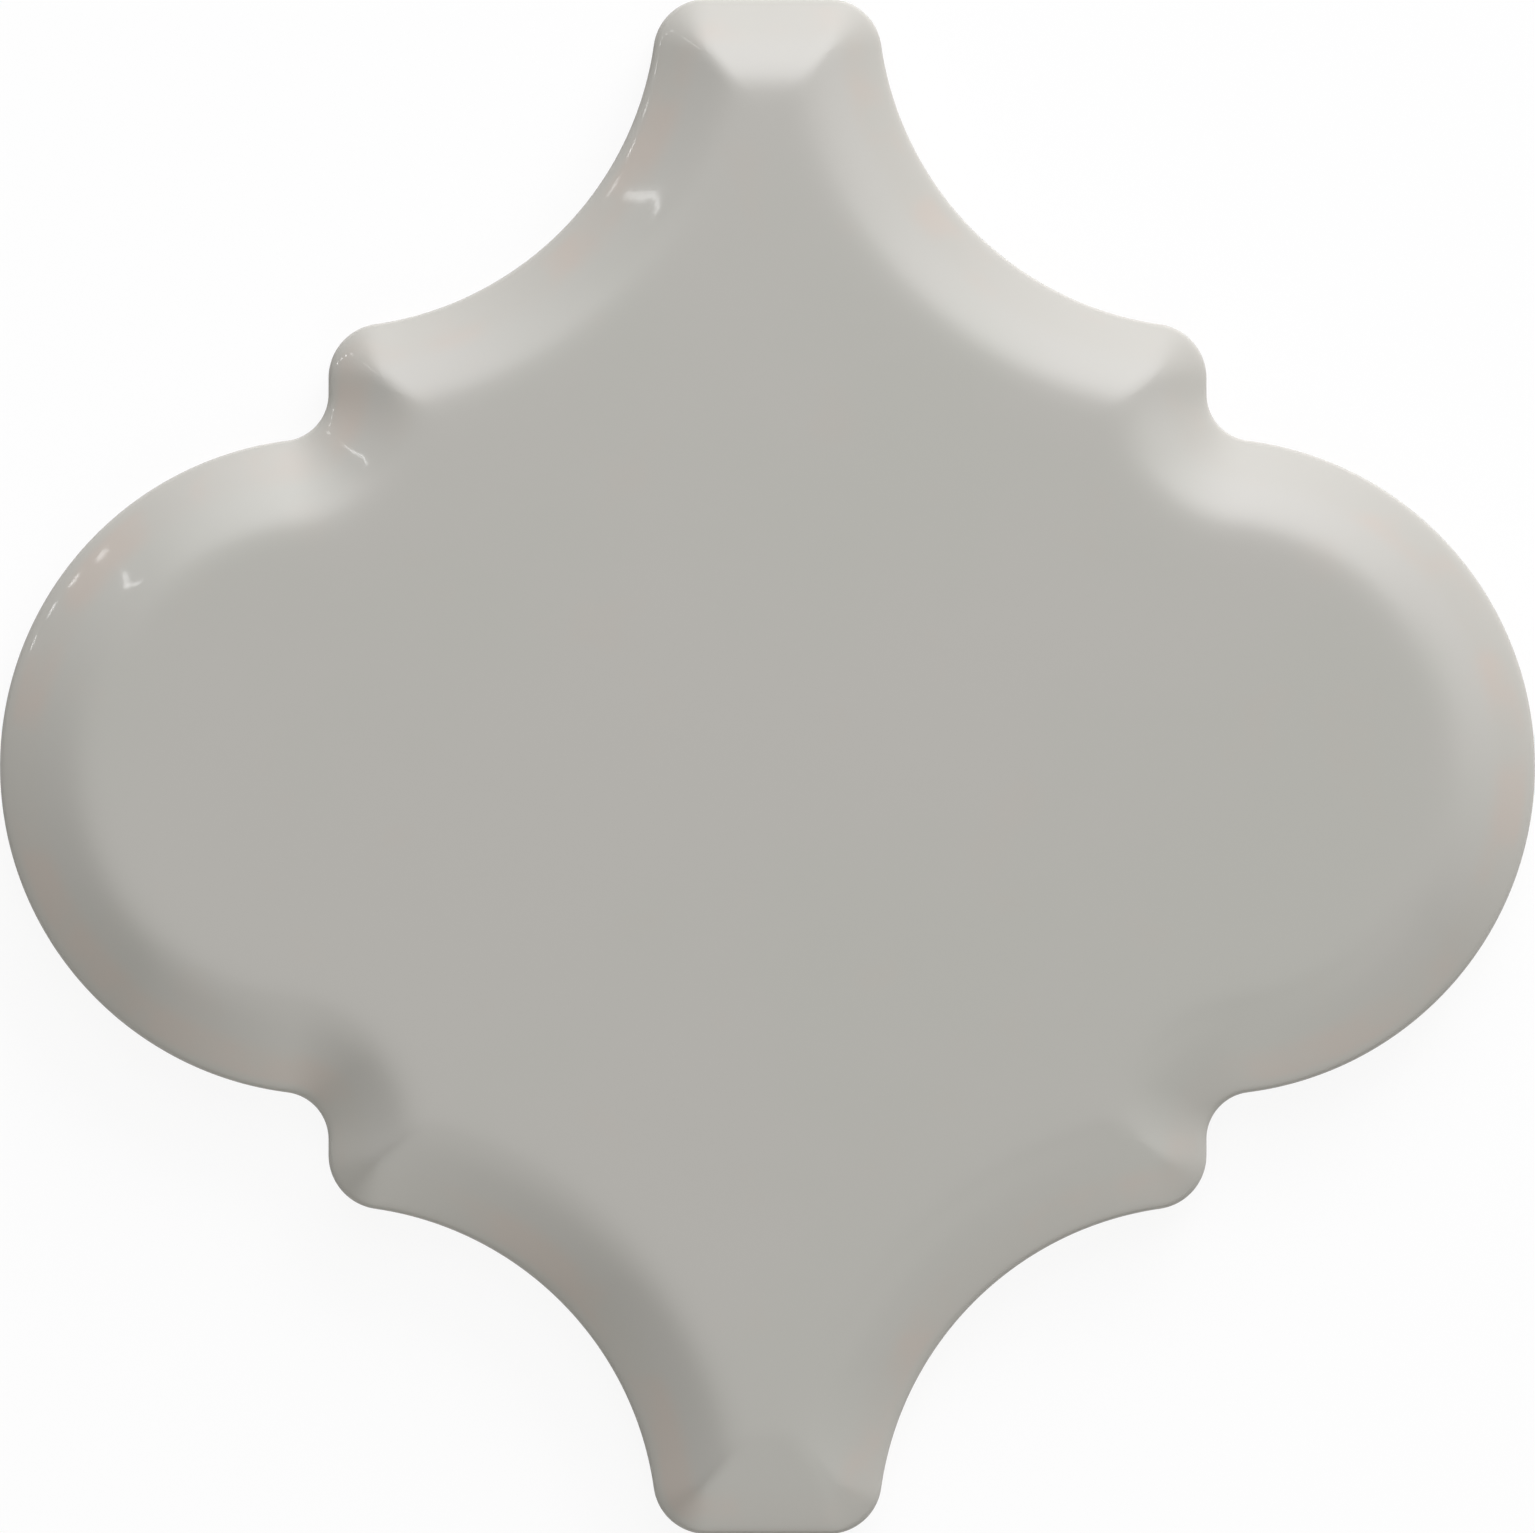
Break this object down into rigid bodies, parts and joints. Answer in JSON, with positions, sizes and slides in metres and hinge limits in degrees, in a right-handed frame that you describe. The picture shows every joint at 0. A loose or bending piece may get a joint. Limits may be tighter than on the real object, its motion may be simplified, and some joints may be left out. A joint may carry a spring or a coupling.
{
  "type": "moroccan arabesque tile",
  "caption": "Glazed ceramic wall tile in a moroccan arabesque lantern shape, with a wide bevel around a flat face; its lobes nest in the necks of the next tiles.",
  "frame": {"origin": "centre of the back, on the floor the tile lies on", "axes": "+Z out of the glazed face, +Y towards one tip, +X towards one lobe"},
  "size_m": [0.15, 0.15, 0.0085],
  "materials": {
    "glaze": "gloss"
  },
  "bodies": {
    "root": {"arabesque_tile": "glaze"}
  },
  "joints": []
}
